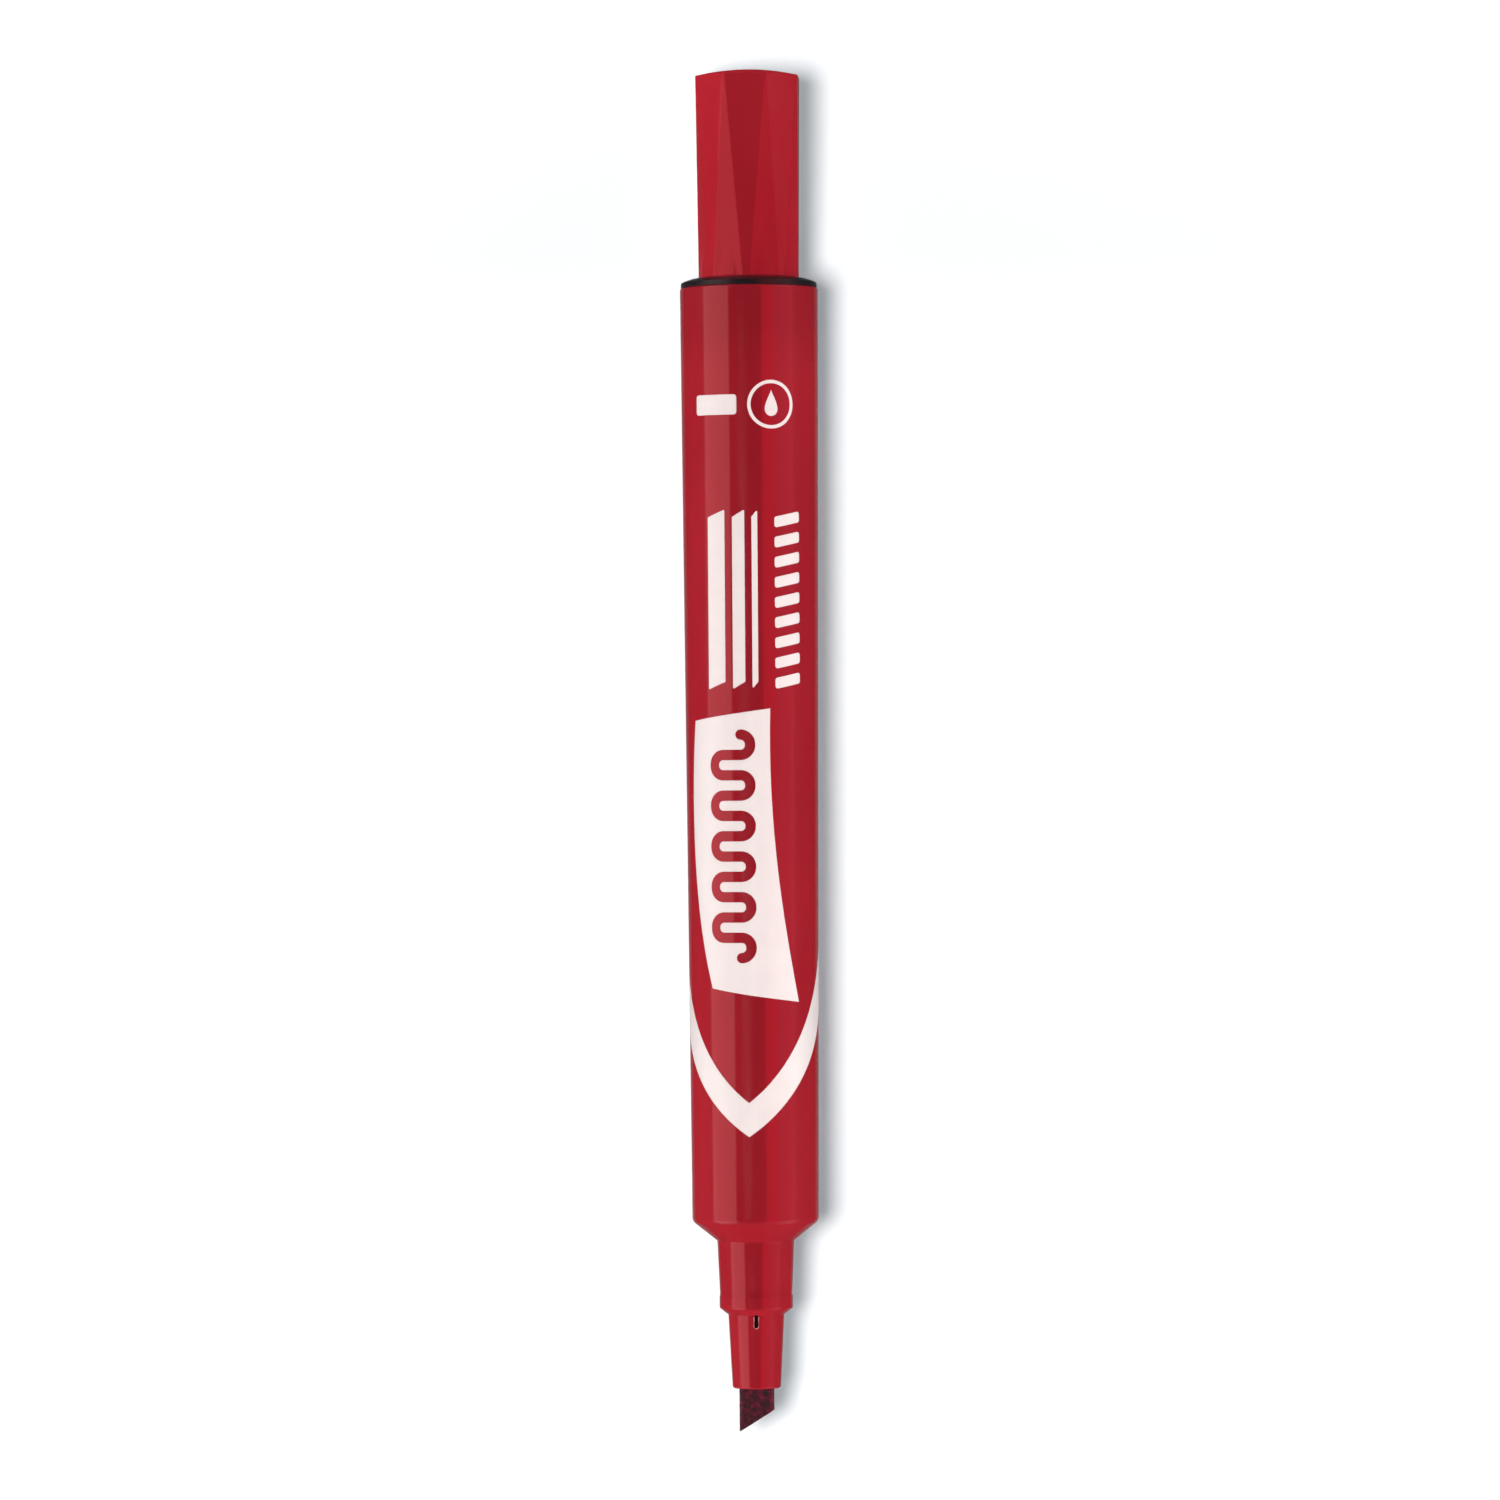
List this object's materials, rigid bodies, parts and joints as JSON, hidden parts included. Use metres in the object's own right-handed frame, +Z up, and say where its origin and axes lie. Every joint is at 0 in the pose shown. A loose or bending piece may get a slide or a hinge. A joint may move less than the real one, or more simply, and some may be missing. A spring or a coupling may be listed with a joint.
{
  "type": "felt tip marker",
  "caption": "Red felt tip marker with a slanted felt nib, a tapered round barrel, a fibre ink core, a black rear plug and a faceted pull-off cap posted on the rear.",
  "frame": {"origin": "on the table under the middle of the marker's length, with the cap posted on the rear", "axes": "+X along the marker's axis from the nib towards the cap, +Z up out of the broad face of the nib and the vent slot, +Y towards the long side of the nib"},
  "size_m": [0.1632, 0.0166, 0.0165],
  "materials": {
    "red_plastic": "moulded red polypropylene, satin gloss",
    "red_cap_plastic": "moulded red polypropylene, satin gloss",
    "black_plastic": "moulded black polypropylene, satin gloss",
    "wet_felt": "pressed felt, dark maroon with ink",
    "inked_fibre": "bundled fibre, red with ink",
    "clear_film": "thin clear film"
  },
  "bodies": {
    "body": {"barrel": "red_plastic", "nib": "wet_felt", "reservoir_core": "inked_fibre", "reservoir_wrap": "clear_film", "end_plug": "black_plastic"},
    "cap": {"cap": "red_cap_plastic"}
  },
  "joints": [
    {"name": "cap_pull", "type": "slide", "parent": "body", "child": "cap", "axis": [1, 0, 0], "range_m": [0, 0.03]}
  ]
}
